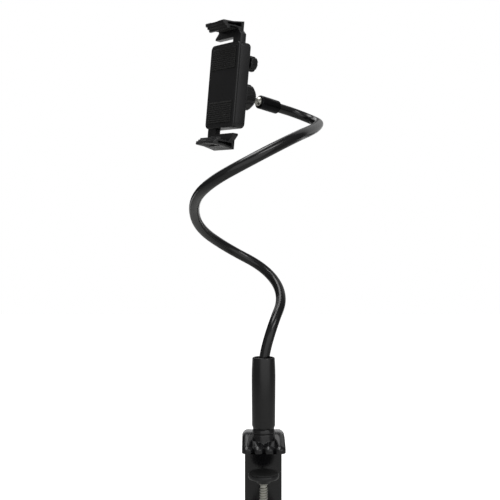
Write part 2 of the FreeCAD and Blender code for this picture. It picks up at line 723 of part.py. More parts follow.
def shell_bores(body):
    cup = body.newObject("PartDesign::SubtractiveSphere", "BallHollow")
    bind(cup, "Radius", S.socket_radius)
    cup.Placement = FreeCAD.Placement(V(0, -float(S.ball_drop), -float(S.ball_depth)),
                                      FreeCAD.Rotation())
    doc.recompute()
    shafts = new_sketch(body, "XY_Plane", -S.bar_back)
    circle(shafts, 0, 0, S.pin_radius)
    pocket(body, shafts, 6)
    insert = new_sketch(body, "XY_Plane", -S.bar_back)
    circle(insert, S.lock_across, S.lock_up, 4)
    pocket(body, insert, 10)
    heads = new_sketch(body, "XY_Plane", -S.back_face)
    for x, y in screw_places():
        circle(heads, x, y, 2.4)
    pocket(body, heads, 2, up=True)
    shanks = new_sketch(body, "XY_Plane", -S.back_face)
    for x, y in screw_places():
        circle(shanks, x, y, 1.35)
    pocket(body, shanks, 17, up=True)


def shell_screws():
    body = in_holder(new_body("shell_screws"))
    for x, y in screw_places():
        for radius, length in ((2.3, 1.8), (1.25, 17)):
            sketch = new_sketch(body, "XY_Plane", -S.back_face)
            circle(sketch, x, y, radius)
            pad(body, sketch, length)


def pinion():
    """Twelve involute teeth on a hub that turns on a fixed pin between the two racks."""
    pitch, module = float(S.pinion_radius), float(S.tooth_module)
    base = pitch * math.cos(PRESSURE_ANGLE)
    tip, root = pitch + 0.93 * module, pitch - 0.9 * module
    roll_end = math.sqrt((tip / base) ** 2 - 1)
    spread = math.tan(PRESSURE_ANGLE) - PRESSURE_ANGLE
    half = math.pi / (2 * PINION_TEETH) + spread - 0.06 / pitch
    flank = []
    for step in range(5):
        roll = roll_end * step / 4
        flank.append((base * math.hypot(1, roll), half - (roll - math.atan(roll))))
    points = []
    for tooth in range(PINION_TEETH):
        middle = 2 * math.pi * tooth / PINION_TEETH
        points.append((root, middle - half - 0.02))
        points += [(radius, middle - angle) for radius, angle in flank]
        points += [(radius, middle + angle) for radius, angle in reversed(flank)]
        points.append((root, middle + half + 0.02))
    body = in_holder(new_body("pinion"))
    sketch = new_sketch(body, "XY_Plane", -S.bar_back)
    outline(sketch, [(r * math.cos(a), r * math.sin(a)) for r, a in points])
    pad(body, sketch, S.bar_back - S.bar_front)
    hole = new_sketch(body, "XY_Plane", -S.bar_front)
    circle(hole, 0, 0, S.pin_radius + S.running_gap)
    pocket(body, hole, 10)
    pin = in_holder(new_body("pinion_pin"))
    shank = new_sketch(pin, "XY_Plane", -S.bar_back - 5.5)
    circle(shank, 0, 0, S.pin_radius)
    pad(pin, shank, S.bar_back + 5.5 - S.parting + 1.6)


def rack_outline():
    """The bar of a jaw, with straight-flanked teeth along its inner edge."""
    pitch_line, module = float(S.pinion_radius), float(S.tooth_module)
    pitch = math.pi * module
    crest, valley = pitch_line - 0.68 * module, pitch_line + 1.13 * module
    lean = math.tan(PRESSURE_ANGLE)
    points = [(S.bar_outer, S.jaw_root + 1), (valley, S.jaw_root + 1)]
    for number in range(2, -9, -1):
        middle = (number + 0.5) * pitch
        for side in (1, -1):
            edge = [(valley, middle + side * (pitch / 4 + (valley - pitch_line) * lean)),
                    (crest, middle + side * (pitch / 4 - (pitch_line - crest) * lean))]
            points += edge if side > 0 else edge[::-1]
    return points + [(valley, -S.bar_end), (S.bar_outer, -S.bar_end)]


def jaw(name, placement):
    """Telescoping jaw: hooked head with a stepped lip, shoulder plate, toothed bar."""
    body = new_body(name)
    body.Placement = placement
    head = new_sketch(body, "YZ_Plane")
    seat = S.device_half + 1.5
    steps = []
    for i in range(3):
        steps += [(seat + 3.6 - 2.4 * i, S.lip_front - 0.4 - 3.1 * i),
                  (seat + 1.2 - 2.4 * i, S.lip_front - 1.0 - 3.1 * i)]
    steps.append((seat - 3.6, 0.5))
    outline(head, [(S.hook_out, -S.bar_back), (S.hook_out - 3, -4), (S.hook_out - 3.6, S.lip_front - 1),
                   (S.hook_out - 4.8, S.lip_front)] + steps
            + [(seat, 0.5), (seat, -S.bar_front), (S.jaw_root, -S.bar_front),
               (S.jaw_root, -S.bar_back)])
    pad(body, head, S.hook_width, both=True)
    plate = new_sketch(body, "XY_Plane", -S.bar_back)
    outline(plate, [(-S.bar_outer, S.jaw_root), (S.bar_outer, S.jaw_root), (S.bar_outer, 61.5),
                    (S.hook_width / 2, 67), (-S.hook_width / 2, 67), (-S.bar_outer, 61.5)])
    pad(body, plate, S.bar_back - S.bar_front)
    rack = new_sketch(body, "XY_Plane", -S.bar_back)
    outline(rack, rack_outline())
    pad(body, rack, S.bar_back - S.bar_front)
    for side in (1, -1):
        taper = new_sketch(body, "XZ_Plane", -S.device_half + 6)
        outline(taper, [(side * S.hook_width / 2, -6), (side * (S.hook_width / 2 + 3), -6),
                        (side * (S.hook_width / 2 + 3), 13), (side * S.hook_front / 2, 13)])
        pocket(body, taper, 30)
        end = new_sketch(body, "YZ_Plane", side * 21)
        outline(end, [(70.6, -16), (75.6, -16), (73.2, -4), (72.8, 3.6), (70.6, 3.6)])
        pocket(body, end, 12, up=side < 0)
    scoop = new_sketch(body, "XY_Plane", 14)
    circle(scoop, 0, S.hook_out + 33.2, 38)
    pocket(body, scoop, 19)


def jaw_grip(name, placement):
    """Ribbed rubber strip in the seat of a jaw."""
    body = new_body(name)
    body.Placement = placement
    strip = new_sketch(body, "YZ_Plane")
    low = S.device_half
    outline(strip, [(low, -10.5), (low + 1.5, -10.5), (low + 1.5, 0.3), (low, 0.3), (low, -1.5),
                    (low + 0.5, -2), (low + 0.5, -4), (low, -4.5), (low, -6), (low + 0.5, -6.5),
                    (low + 0.5, -8.5), (low, -9)])
    pad(body, strip, S.hook_front - 4, both=True)


def jaws():
    turned_over = HOLDER.multiply(FreeCAD.Placement(V(), FreeCAD.Rotation(V(0, 0, 1), 180)))
    for side, placement in (("upper", HOLDER), ("lower", turned_over)):
        jaw("%s_jaw" % side, placement)
        jaw_grip("%s_jaw_grip" % side, placement)


def jaw_lock():
    """Thumbscrew through a metal insert: its tip presses on the upper jaw's bar."""
    insert = turned("lock_insert", [
        (S.pin_radius + S.running_gap, -S.back_face), (4, -S.back_face),
        (4, -S.bar_back - 0.4), (S.pin_radius + S.running_gap, -S.bar_back - 0.4)])
    screw = turned("lock_screw", [
        (0, -38), (S.pin_radius, -38), (S.pin_radius, -S.bar_back - 0.8),
        (S.pin_radius - 0.7, -S.bar_back - 0.1), (0, -S.bar_back - 0.1)])
    knob = turned("lock_knob", [
        (0, -41), (8, -41, 1.5), (9.5, -39.5), (9.5, -32.5, 1.5), (8, -31), (4.5, -29),
        (S.pin_radius, -29), (S.pin_radius, -38), (0, -38)])
    scallop = new_sketch(knob, "XY_Plane", -42)
    circle(scallop, 11.2, 0, 3)
    around(knob, pocket(knob, scallop, 14, up=True), 6)
    spot = HOLDER.multiply(FreeCAD.Placement(
        V(float(S.lock_across), float(S.lock_up), 0), FreeCAD.Rotation()))
    for piece in (insert, screw, knob):
        piece.Placement = spot


clamp_frame()
upper_jaw_pad()
threaded_insert()
neck_post()
clamp_screw()
neck()
ball_joint()
front_shell()
front_pads()
back_shell()
shell_screws()
pinion()
jaws()
jaw_lock()
doc.recompute()

# Check every object and every piece, then write the files
for thing in doc.Objects:
    if "Invalid" in thing.State or "Error" in thing.State:
        raise ValueError("%s failed: %s" % (thing.Name, thing.State))
for name, piece in PIECES.items():
    shape = piece.Shape
    if shape.isNull() or not shape.isValid() or not shape.Solids:
        raise ValueError("%s has no valid solid" % name)
for name, piece in PIECES.items():
    piece.Shape.exportStep("parts/%s.step" % name)
print("%d pieces" % len(PIECES))
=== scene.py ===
# %% [markdown]
# # Dressing a clamp-on gooseneck holder
#
# The shapes of this holder come from a finished CAD model: a screw clamp, a grip post, a long
# flexible neck, a ball joint and a holder with two sliding jaws. This notebook gives that model its
# looks in Blender. It re-makes what needs finer form, such as the smooth neck and the screw's
# thread, gives every piece a finish, and sets up a plain studio.

# %% Load the CAD model
import json
import math

import bpy
from mathutils import Matrix, Vector


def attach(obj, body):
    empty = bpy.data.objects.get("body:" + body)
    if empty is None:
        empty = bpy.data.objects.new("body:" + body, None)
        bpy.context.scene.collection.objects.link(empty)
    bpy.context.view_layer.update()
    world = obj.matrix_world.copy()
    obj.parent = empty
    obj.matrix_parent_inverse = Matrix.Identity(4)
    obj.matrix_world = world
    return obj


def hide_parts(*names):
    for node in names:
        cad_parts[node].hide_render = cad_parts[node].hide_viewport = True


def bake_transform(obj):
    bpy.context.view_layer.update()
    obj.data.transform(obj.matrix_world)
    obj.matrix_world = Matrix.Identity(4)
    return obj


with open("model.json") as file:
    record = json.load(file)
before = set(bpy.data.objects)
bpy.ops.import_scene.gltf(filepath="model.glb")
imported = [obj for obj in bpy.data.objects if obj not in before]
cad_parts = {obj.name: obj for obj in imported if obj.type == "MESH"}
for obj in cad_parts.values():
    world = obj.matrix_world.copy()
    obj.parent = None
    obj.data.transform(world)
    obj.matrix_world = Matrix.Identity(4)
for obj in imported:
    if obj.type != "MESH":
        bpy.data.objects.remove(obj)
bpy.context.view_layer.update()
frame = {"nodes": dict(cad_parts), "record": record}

MM = 0.001
nodes = frame["nodes"]

# %% [markdown]
# ## Camera
#
# A picture can only be matched from the same place. The camera could be moved by eye until the
# outlines meet, but perspective and one known length give its place directly. It stands level,
# about a metre in front of the post, with a lens a little longer than normal. It is made first, so
# that each later step can be looked at from there.

# %% Camera
CAMERA_PLACE = (-0.0158, -0.990, 0.233)
# A new camera looks straight down, and a quarter turn makes it look level.
bpy.ops.object.camera_add(location=CAMERA_PLACE, rotation=(math.pi / 2, 0, 0))
camera = bpy.context.object
camera.name = "camera"
camera.data.sensor_width = 36.0
camera.data.lens = 61.2
camera.data.clip_end = 50.0
bpy.context.scene.camera = camera
bpy.context.scene.view_settings.view_transform = "Standard"
print("the camera is %.2f m in front and %.2f m up" % (-CAMERA_PLACE[1], CAMERA_PLACE[2]))

# %% [markdown]
# ## Finishes
#
# Almost everything here is black plastic, and black plastics differ only in how they shine. A
# finish could be a painted image, but each of these surfaces is alike all over, so a few numbers
# describe it: its colour, its gloss and how its mould was treated. A polished mould gives sharp
# highlights, a spark-eroded one breaks them up into a soft glow, and extruded tube is as smooth as
# its die. The colours are written as on a screen and turned to linear light by one function.

# %% Colour and nodes
def colour(code):
    """An sRGB hex colour as linear red, green, blue and alpha."""
    parts = [int(code[i:i + 2], 16) / 255 for i in (1, 3, 5)]
    return [p / 12.92 if p <= 0.04045 else ((p + 0.055) / 1.055) ** 2.4 for p in parts] + [1.0]


def add_node(tree, kind, settings=None, feeds=(), **links):
    """Add a node. Settings go to its sockets or to its own fields.

    Feeds are linked to its inputs in their order, and links to the inputs that they name.
    """
    node = tree.nodes.new(kind)
    for key, value in (settings or {}).items():
        if key in node.inputs:
            node.inputs[key].default_value = value
        else:
            setattr(node, key, value)
    for number, socket in enumerate(feeds):
        tree.links.new(socket, node.inputs[number])
    for key, socket in links.items():
        tree.links.new(socket, node.inputs[key.replace("_", " ")])
    return node


WHITE = colour("#ffffff")
print("mid grey #808080 is %.3f in linear light" % colour("#808080")[0])

# %% How a finish is built
# Handled plastic is uneven in patches about as wide as a thumb, in millimetres.
PATCH = 30.0
FINISHES = {}


def finish(name, base, worn, roughness, spread, grain=0.0, height=0.0, **extra):
    """A finish of two close tones, a roughness with its spread, and a grain with its height.

    Broad patches shift the colour a little towards the worn tone and make the gloss uneven. A fine
    noise stands for the texture of the mould. Real grain is finer than a tenth of a millimetre,
    which the picture can't show, so it is drawn a few times coarser.
    """
    material = bpy.data.materials.new(name)
    material.use_nodes = True
    tree = material.node_tree
    shader = tree.nodes["Principled BSDF"]
    where = add_node(tree, "ShaderNodeTexCoord").outputs["Object"]
    patches = add_node(tree, "ShaderNodeTexNoise", {"Scale": 1 / (PATCH * MM), "Detail": 3.0},
                       Vector=where)
    tone = add_node(tree, "ShaderNodeMixRGB", {"Color1": colour(base), "Color2": colour(worn)},
                    Fac=patches.outputs["Fac"])
    gloss = add_node(tree, "ShaderNodeMapRange",
                     {"To Min": roughness - spread, "To Max": roughness + spread},
                     Value=patches.outputs["Fac"])
    tree.links.new(tone.outputs["Color"], shader.inputs["Base Color"])
    tree.links.new(gloss.outputs["Result"], shader.inputs["Roughness"])
    if height:
        fine = add_node(tree, "ShaderNodeTexNoise", {"Scale": 1 / (grain * MM), "Detail": 2.0},
                        Vector=where)
        bump = add_node(tree, "ShaderNodeBump", {"Distance": height * MM},
                        Height=fine.outputs["Fac"])
        tree.links.new(bump.outputs["Normal"], shader.inputs["Normal"])
    for key, value in extra.items():
        shader.inputs[key].default_value = value
    FINISHES[name] = material


# %% The plastics and the rubber
# Gloss ABS from a polished mould: deep black, small sharp highlights.
finish("abs_polished_mould", "#0b0b0d", "#131315", 0.24, 0.04, IOR=1.5)
# ABS from a finely spark-eroded mould: the same black with a little softer shine.
finish("abs_eroded_mould", "#0e0e0f", "#151516", 0.29, 0.03, 0.5, 0.003, IOR=1.5)
# Extruded soft PVC over the neck: wet-looking, with long streaks of light.
finish("pvc_extruded", "#0a0a0b", "#111112", 0.22, 0.03, IOR=1.5)
# Glass-filled nylon of the holder and its jaws: satin, a little grey on its edges.
finish("nylon_glass_filled", "#0d0d0e", "#18181a", 0.38, 0.06, 0.6, 0.015, IOR=1.53)
# Nitrile rubber: matt, it swallows nearly all light.
finish("rubber_nitrile", "#141414", "#1e1e1d", 0.78, 0.06, 0.4, 0.02, IOR=1.52)
# Unfilled nylon of the ball's liners: milky and waxy.
finish("nylon_natural", "#d9d5c8", "#cfc9b8", 0.4, 0.05, 0.8, 0.01, IOR=1.53)
print("plastics and rubber: %s" % ", ".join(FINISHES))

# %% The metals
# Zinc-plated steel: bright with a faint yellow cast, finely drawn.
finish("steel_zinc_plated", "#c4c4bf", "#aeaca2", 0.26, 0.06, 0.3, 0.004, Metallic=1.0)
# Chemically blackened steel of the collar: dark, with an oily sheen.
finish("steel_blackened", "#1d1d1f", "#2a2a2b", 0.33, 0.05, 0.5, 0.004, Metallic=1.0)
# Drawn aluminium wire of the neck's core, which the sleeve hides.
finish("aluminium_drawn", "#b9babc", "#a6a7aa", 0.35, 0.05, 0.4, 0.004, Metallic=1.0)
# Turned brass of the lock's insert: warm, with a soft gleam.
finish("brass_turned", "#c9a45a", "#b38d45", 0.28, 0.05, 0.4, 0.003, Metallic=1.0)
print("%d finishes in all" % len(FINISHES))

# %% Which finish goes where
FINISH_OF_SLOT = {
    "clamp_gloss": "abs_polished_mould", "grip_satin": "abs_eroded_mould",
    "tube_pvc": "pvc_extruded", "holder_satin": "nylon_glass_filled",
    "rubber": "rubber_nitrile", "steel": "steel_zinc_plated",
    "black_steel": "steel_blackened", "core_metal": "aluminium_drawn",
    "brass": "brass_turned", "nylon": "nylon_natural",
}


def paint(thing, slot):
    """Give a piece the finish of one of the CAD record's material slots."""
    thing.data.materials.clear()
    thing.data.materials.append(FINISHES[FINISH_OF_SLOT[slot]])


for entry in frame["record"]["subparts"]:
    paint(nodes[entry["node"]], entry["material_slot"])
print("every CAD node has its finish")

# %% [markdown]
# ## Fitting a new piece
#
# A new piece stands for one or more CAD nodes, which are then hidden. It could simply be parented
# to something, but the parts of the holder move on joints that the CAD model knows. So each new
# piece says which slot its finish belongs to, which nodes it stands for and which body it rides on.

# %% Coating and fitting
def coat(thing, slot):
    """Finish a new piece and say which of the record's slots that is."""
    paint(thing, slot)
    print("%-24s %6d faces, %s" % (thing.name, len(thing.data.polygons), FINISH_OF_SLOT[slot]))


def fit(thing, body, slot, *replaced):
    """Finish a piece, let it stand for CAD nodes, and let it ride on its body."""
    coat(thing, slot)
    if replaced:
        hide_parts(*replaced)
    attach(thing, body)


# %% [markdown]
# ## Where the holder hangs
#
# The holder and its ball joint hang turned in space at the neck's end. Their new pieces could be
# modelled there, at an awkward angle, but it is easier to make each one upright at the origin and
# to carry it over with a matrix. The neck needs the ball's centre too, because it ends there.

# %% The holder's own axes and the ball's centre
def placed(origin, side, up, front):
    """The matrix that carries X, Y and Z to three directions at a point."""
    turn = Matrix((side, up, front)).transposed().to_4x4()
    return Matrix.Translation(origin) @ turn


# From the CAD model: the holder's middle, the way to its side and the way that it faces.
HOLDER_ORIGIN = Vector((-56.9, 46.1, 435.1)) * MM
HOLDER_SIDE = Vector((0.619, -0.784, -0.051)).normalized()
HOLDER_FACES = Vector((-0.781, -0.621, 0.065))
# Two cross products make the three directions exactly square to each other.
HOLDER_UP = HOLDER_FACES.cross(HOLDER_SIDE).normalized()
HOLDER_FRONT = HOLDER_SIDE.cross(HOLDER_UP).normalized()
HOLDER = placed(HOLDER_ORIGIN, HOLDER_SIDE, HOLDER_UP, HOLDER_FRONT)
BALL_BEHIND_HOLDER = Vector((0, -8, -45)) * MM
BALL = HOLDER @ BALL_BEHIND_HOLDER
COLLAR_WAY = Vector((0.75, 0.65, -0.12)).normalized()
print("the ball's centre is at %s mm" % [round(v / MM, 1) for v in BALL])

# %% [markdown]
# ## Selecting, placing and copying
#
# Blender's operators act on what is selected, and mostly on the active object. They would also
# take whatever a step before has left selected, and then one step spoils the next. So each step
# first says what it works on. A finished piece's place goes into its mesh, so that its object lies
# at the origin like a CAD node's and a pattern on it doesn't slide.

# %% Selecting, placing and copying
def only(*things):
    """Select these objects and nothing else. The last one becomes the active one."""
    bpy.ops.object.select_all(action="DESELECT")
    for thing in things:
        thing.select_set(True)
    bpy.context.view_layer.objects.active = things[-1]


def named(name):
    """Name the object that an operator has just made."""
    thing = bpy.context.object
    thing.name = name
    thing.data.name = name
    return thing


def settle(thing, place=None):
    """Carry a piece to its place and put that place into its mesh."""
    only(thing)
    bpy.ops.object.transform_apply(location=True, rotation=True, scale=True)
    if place is not None:
        thing.matrix_world = place
        bpy.ops.object.transform_apply(location=True, rotation=True, scale=True)


def copied(thing, name, place=None):
    """A copy of a piece with its own mesh, carried to its place."""
    only(thing)
    bpy.ops.object.duplicate()
    copy = named(name)
    settle(copy, place)
    return copy


# %% [markdown]
# ## The neck
#
# On the real holder the neck is one piece of soft tube over a wire core, and it bends anywhere. It
# could be put together from straight and bent tubes, but each change would show as a break in the
# long streaks of light. So it is a NURBS curve, led by the same few points as the CAD model's
# route, with a round bevel. That gives one smooth line from the post to the collar.

# %% The neck's route
# In millimetres: up through the post, then two wide bends and the start of the hairpin.
ROUTE = [(0, 0, 74), (0, 0, 84), (0, 0, 108), (10, 1, 144), (26, 45, 177), (6, 89, 209),
         (-46, 89, 236), (-79, 36, 260), (-81, -31, 286), (-60, -98, 303), (-13, -114, 327),
         (34, -77, 355), (56, -14, 371), (68, 52, 386), (74, 119, 399)]
# The hairpin's end and the way into the collar lie in line with the ball, this far from it.
COLLAR_POINTS = (90, 56, 42)
route = [Vector(point) * MM for point in ROUTE]
route += [BALL + COLLAR_WAY * (along * MM) for along in COLLAR_POINTS]
print("%d points lead the neck" % len(route))

# %% A smooth tube along it
TUBE_RADIUS = 6.0
SIDES = 48
RINGS_PER_RUN = 24

path = bpy.data.curves.new("neck_route", "CURVE")
path.dimensions = "3D"
spline = path.splines.new("NURBS")
spline.points.add(len(route) - 1)
for point, spot in zip(spline.points, route):
    point.co = (*spot, 1.0)
spline.order_u = 3
spline.use_endpoint_u = True
spline.resolution_u = RINGS_PER_RUN
path.bevel_depth = TUBE_RADIUS * MM
# A full round bevel has twice this many sides and four more.
path.bevel_resolution = SIDES // 2 - 2
path.use_fill_caps = False
neck = bpy.data.objects.new("neck_whole", path)
bpy.context.scene.collection.objects.link(neck)
only(neck)
bpy.ops.object.convert(target="MESH")
neck = bpy.context.object

# %% Its rings and its length
skin = [vertex.co for vertex in neck.data.vertices]
rings = len(skin) // SIDES
centres = [sum(skin[i * SIDES:(i + 1) * SIDES], Vector()) / SIDES for i in range(rings)]
length = sum((b - a).length for a, b in zip(centres, centres[1:]))
print("%d rings of %d points, %.0f mm long" % (rings, SIDES, length / MM))

# %% [markdown]
# ## Cutting the neck for its joints
#
# The part has six joints along the neck, so the tube is cut into six lengths. A single mesh could
# bend there too, but a piece can only be blended between two bodies. Each reaches from the middle
# of one link to the middle of the next, with one joint between them. Nothing here blends a length
# across its joint or lets it ride on a body.

# %% Where the tube is cut
# The joints lie on the middles of every second run of the route, the seams on the runs between.
JOINT_RUNS = [3, 5, 7, 9, 11, 13]
SEAM_RUNS = [4, 6, 8, 10, 12]


def middle_of(run):
    """The middle of a run, which is the stretch between two points of the route."""
    return (route[run] + route[run + 1]) / 2


cuts = [0]
for run in SEAM_RUNS:
    cuts.append(min(range(rings), key=lambda i: (centres[i] - middle_of(run)).length))
cuts.append(rings - 1)
print("cut at the rings %s" % cuts)


# %% One length of the tube
# Corners sharper than this stay crisp where a piece is shaded smooth.
CRISP = math.radians(38)


def neck_length(number, first, last):
    """Copy the rings from first to last and close both ends."""
    piece = copied(neck, "neck_tube_%d" % number)
    for vertex in piece.data.vertices:
        vertex.select = not first * SIDES <= vertex.index < (last + 1) * SIDES
    bpy.ops.object.mode_set(mode="EDIT")
    bpy.ops.mesh.delete(type="VERT")
    bpy.ops.mesh.select_all(action="SELECT")
    bpy.ops.mesh.fill_holes(sides=0)
    bpy.ops.mesh.normals_make_consistent(inside=False)
    bpy.ops.object.mode_set(mode="OBJECT")
    bpy.ops.object.shade_smooth_by_angle(angle=CRISP)
    return piece


# %% Six lengths of the tube
# How far a bend would reach from a joint, in millimetres. Here it only sets the length of the way
# worked out below.
BEND_REACH = 30.0
for number, run in enumerate(JOINT_RUNS, start=1):
    first, last = cuts[number - 1], cuts[number]
    piece = neck_length(number, first, last)
    coat(piece, "tube_pvc")
    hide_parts("neck_sleeve_%d" % (number - 1), "neck_bend_%d" % number,
                "neck_sleeve_%d" % number)
    # The way from its one end to its other, scaled to the bend's reach, is worked out but not used
    # here. The length is not turned along it.
    way = (centres[last] - centres[first]).normalized() * (BEND_REACH * MM)
    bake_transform(piece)
bpy.data.objects.remove(neck)

# %% [markdown]
# ## The clamp
#
# The clamp is one gloss moulding: an upper jaw with four fingers, a spine, and an arm for the
# screw. A rubber pad lies under the jaw. It could be modelled again from a block, but the CAD shape
# has all its forms already and lacks only soft edges. So that shape is copied, its triangles are
# joined up and its edges are rounded, which is what catches the light.

# %% Rounding edges, and copying a CAD piece
# Points closer than this are one point. Faces that turn less than FLAT are one flat face, and
# edges that turn more than EDGE are rounded.
SAME_POINT = 0.002 * MM
FLAT = math.radians(1.0)
EDGE = math.radians(32)


def apply_modifiers(thing):
    """Apply all modifiers of a piece, in their order."""
    only(thing)
    for modifier in list(thing.modifiers):
        bpy.ops.object.modifier_apply(modifier=modifier.name)


def round_edges(thing, width):
    """Round the sharp edges by a width in millimetres, then shade the rest smooth."""
    bevel = thing.modifiers.new("Edges", "BEVEL")
    bevel.width = width * MM
    bevel.segments = 3
    bevel.limit_method = "ANGLE"
    bevel.angle_limit = EDGE
    bevel.use_clamp_overlap = False
    apply_modifiers(thing)
    bpy.ops.object.shade_smooth_by_angle(angle=CRISP)


def dressed(node, width):
    """A copy of a CAD piece with its triangles joined up and its edges rounded."""
    copy = bpy.data.objects.new(node + "_dressed", nodes[node].data.copy())
    bpy.context.scene.collection.objects.link(copy)
    only(copy)
    bpy.ops.mesh.customdata_custom_splitnormals_clear()
    bpy.ops.object.mode_set(mode="EDIT")
    bpy.ops.mesh.select_all(action="SELECT")
    bpy.ops.mesh.remove_doubles(threshold=SAME_POINT)
    bpy.ops.mesh.dissolve_limited(angle_limit=FLAT)
    bpy.ops.object.mode_set(mode="OBJECT")
    round_edges(copy, width)
    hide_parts(node)
    return copy


# %% Clamp and pad
fit(dressed("clamp_frame", 0.6), "clamp", "clamp_gloss")
fit(dressed("upper_jaw_pad", 0.3), "clamp", "rubber")

# %% [markdown]
# ## Turned pieces
#
# The grip post is a ring at its foot, a sleeve that tapers a little, and a soft bush where the neck
# comes out. They are round, as is the metal nut in the clamp's arm. A cylinder could be pushed into
# shape ring by ring, but such pieces are known by their outline, as on the drawing for a lathe. So
# one side of the outline is drawn, point by point, and spun round the axis in small steps, which
# also keeps its edge smooth close up.

# %% Drawing an outline and turning it
def draw_chain(name, points):
    """Draw edges from point to point by extruding one vertex. Points are in millimetres."""
    spots = [Vector(point) * MM for point in points]
    bpy.ops.mesh.primitive_plane_add(size=MM, location=(0, 0, 0))
    thing = named(name)
    bpy.ops.object.mode_set(mode="EDIT")
    bpy.ops.mesh.merge(type="CENTER")
    bpy.ops.transform.translate(value=spots[0])
    for start, end in zip(spots, spots[1:]):
        bpy.ops.mesh.extrude_region_move(TRANSFORM_OT_translate={"value": end - start})
    return thing


def close_up():
    """Merge doubled points and turn all faces outwards, then leave edit mode."""
    bpy.ops.mesh.select_all(action="SELECT")
    bpy.ops.mesh.remove_doubles(threshold=SAME_POINT)
    bpy.ops.mesh.normals_make_consistent(inside=False)
    bpy.ops.object.mode_set(mode="OBJECT")


def turned(name, profile, edge, steps=96, place=None):
    """Spin an outline of (radius, height) points round Z, and round its edges by a width.

    An outline that starts and ends on the axis makes a solid piece with closed poles. Any other is
    led back to its start, which makes a ring or a sleeve.
    """
    solid = profile[0][0] == 0 and profile[-1][0] == 0
    outline = profile if solid else profile + profile[:1]
    thing = draw_chain(name, [(radius, 0, height) for radius, height in outline])
    bpy.ops.mesh.select_all(action="SELECT")
    bpy.ops.mesh.spin(steps=steps, angle=2 * math.pi, center=(0, 0, 0), axis=(0, 0, 1))
    close_up()
    round_edges(thing, edge)
    settle(thing, place)
    return thing


# %% Nut in the arm, and ring at the foot of the post
# Outlines go from point to point in (radius, height), in millimetres. The screw, which the nut
# takes, runs 3 mm in front of the post's axis.
SCREW_AXIS = Matrix.Translation((0, -3 * MM, 0))
NUT = [(5.05, -94), (8, -94), (8, -78), (10, -78), (10, -76), (5.05, -76)]
RING = [(9.5, 20), (12.6, 20), (13, 20.6), (13, 23.2), (12.1, 25.3), (9.5, 25.3)]
fit(turned("threaded_insert_turned", NUT, 0.3, place=SCREW_AXIS),
    "clamp", "steel", "threaded_insert")
fit(turned("neck_ring_turned", RING, 0.3), "clamp", "clamp_gloss", "neck_ring")


# %% Grip sleeve
def bowed(start, end, bow, steps):
    """Points from start to end, in (radius, height), that bow outwards by a little."""
    shares = [i / steps for i in range(steps + 1)]
    return [(start[0] + (end[0] - start[0]) * t + 4 * bow * t * (1 - t),
             start[1] + (end[1] - start[1]) * t) for t in shares]


SLEEVE_FOOT = [(9.5, 25.3), (12.05, 25.3), (13.45, 29.2)]
SLEEVE_SIDE = bowed((13.85, 84), (13.1, 106.9), 0.22, 6)
SLEEVE_RIM = [(12.93, 107.5), (12.5, 108.0), (11.8, 108.2), (11.2, 108.2)]
SLEEVE_INSIDE = [(11.2, 83), (7.0, 83), (7.0, 40.5), (9.5, 40.5)]
fit(turned("grip_sleeve_turned", SLEEVE_FOOT + SLEEVE_SIDE + SLEEVE_RIM + SLEEVE_INSIDE, 0.25),
    "clamp", "grip_satin", "grip_sleeve")

# %% Bush in the sleeve's mouth
BUSH = [(6.1, 83), (11.2, 83), (11.2, 101.2), (8.4, 101.2), (7.4, 98.5), (6.6, 95), (6.1, 91)]
fit(turned("mouth_bush_turned", BUSH, 0.2), "clamp", "rubber", "sleeve_top_bush")

# %% [markdown]
# ## The clamp screw
#
# The screw has a rolled trapezoidal thread of 3 mm pitch, which takes the load better than a fine
# one. A thread could be painted on as bump, but its edge shows against the light, so it is real
# shape here: one tooth's outline, with a Screw modifier that turns it and lifts it one pitch each
# turn. It stands on a plain core, and its crest is as wide as the CAD model's plain cylinder.

# %% The screw's core
PITCH = 3.0
CORE, CREST, TIP, GROOVE_FLOOR = 3.9, 5.0, 3.95, 2.95
SCREW_LOW, THREAD_TOP, SCREW_HIGH = -134.0, -40.0, -38.0
# The tip turns in the foot, and a ring in the tip's groove holds the foot on.
SCREW_TIP = [(TIP, -37.0), (TIP, -30.9), (GROOVE_FLOOR, -30.9), (GROOVE_FLOOR, -29.7),
             (TIP, -29.7), (TIP, -28.6), (3.55, -28.2), (0, -28.2)]
SCREW_SIDE = [(0, SCREW_LOW), (CORE, SCREW_LOW), (CORE, THREAD_TOP), (CREST, SCREW_HIGH - 1),
              (CREST, SCREW_HIGH - 0.2)] + SCREW_TIP
screw = turned("screw_core", SCREW_SIDE, 0.1, steps=64)

# %% One tooth, wound up into a thread
# The tooth's root lies a little inside the core, so that both make one body.
ROOT = CORE - 0.2
FIRST = SCREW_LOW + 0.3
TOOTH = [(ROOT, 0, FIRST), (CREST, 0, FIRST + 0.72), (CREST, 0, FIRST + 1.5),
         (ROOT, 0, FIRST + 2.25), (ROOT, 0, FIRST)]
turns = int((THREAD_TOP - SCREW_LOW) / PITCH) - 1
tooth = draw_chain("screw_thread", TOOTH)
bpy.ops.mesh.select_all(action="SELECT")
bpy.ops.mesh.remove_doubles(threshold=SAME_POINT)
bpy.ops.object.mode_set(mode="OBJECT")
winding = tooth.modifiers.new("Winding", "SCREW")
winding.axis = "Z"
winding.angle = 2 * math.pi
winding.screw_offset = PITCH * MM
winding.iterations = turns
winding.steps = winding.render_steps = 40
winding.use_merge_vertices = True
apply_modifiers(tooth)
print("the thread makes %d turns" % turns)

